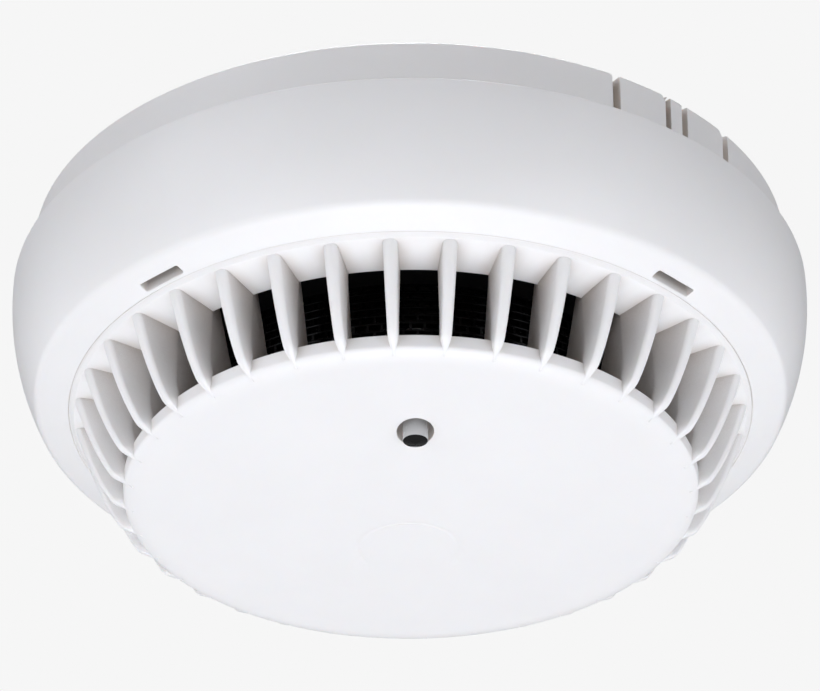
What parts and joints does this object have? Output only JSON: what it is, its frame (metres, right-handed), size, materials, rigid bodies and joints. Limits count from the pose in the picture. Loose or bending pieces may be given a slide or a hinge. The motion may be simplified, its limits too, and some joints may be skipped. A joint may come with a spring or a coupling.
{
  "type": "heat detector",
  "caption": "Round white ceiling heat detector: twist-off head on a mounting base, pull-off vent cap with radial vanes, black screened chamber and an alarm light.",
  "frame": {"origin": "centre of the mounting base's ceiling face, on the axis of the cable entry", "axes": "+Z out of the ceiling face, up into the ceiling; the detector hangs along -Z; -Y towards the alarm light"},
  "size_m": [0.1106, 0.1106, 0.0428],
  "materials": {
    "base_plastic": "fine satin moulding, slightly greyer than the cover",
    "cover_plastic": "white moulded plastic, fine satin texture",
    "cap_plastic": "white moulded plastic, fine satin texture",
    "rear_plastic": "white moulded plastic, satin",
    "contact_metal": "rolled phosphor bronze",
    "plated_steel": "zinc-plated steel",
    "tinplate": "bright tinplate",
    "board_laminate": "glass laminate with green solder mask",
    "chip_black": "moulded epoxy, faint matt grain",
    "capacitor_can": "bare drawn can on a black foot",
    "resistor_ceramic": "ceramic chip with glazed top",
    "reed_glass": "green-tinted glass",
    "led_red": "diffused red epoxy",
    "light_pipe_acrylic": "clear acrylic over an unlit lamp",
    "thermistor_epoxy": "dipped black epoxy",
    "lead_wire": "tinned wire",
    "chamber_black": "light-absorbing black moulding",
    "screen_black": "black moulded screen, semi-gloss on its edges",
    "emitter_epoxy": "blue-black tinted epoxy",
    "receiver_epoxy": "daylight-filtering black epoxy"
  },
  "bodies": {
    "base": {"mounting_base": "base_plastic", "contact_springs": "contact_metal", "clamp_plates": "plated_steel", "terminal_screws": "plated_steel"},
    "head": {"front_cover": "cover_plastic", "rear_cover": "rear_plastic", "cover_screws": "plated_steel", "contact_blades": "contact_metal", "circuit_board": "board_laminate", "microcontroller": "chip_black", "filter_capacitor": "capacitor_can", "resistors": "resistor_ceramic", "shield_can": "tinplate", "reed_switch": "reed_glass", "alarm_led": "led_red", "light_pipe": "light_pipe_acrylic", "thermistors": "thermistor_epoxy", "thermistor_leads": "lead_wire", "chamber_base": "chamber_black", "ir_emitter": "emitter_epoxy", "photodiode": "receiver_epoxy", "labyrinth": "chamber_black", "chamber_lid": "chamber_black", "insect_screen": "screen_black"},
    "cap": {"vent_ring": "cap_plastic", "vanes": "cap_plastic", "front_disc": "cap_plastic"}
  },
  "joints": [
    {"name": "head_twist", "type": "hinge", "parent": "base", "child": "head", "pos_m": [0, 0, -0.008], "axis": [0, 0, 1], "range_deg": [-20, 0]},
    {"name": "cap_pull", "type": "slide", "parent": "head", "child": "cap", "axis": [0, 0, -1], "range_m": [0, 0.02]}
  ]
}
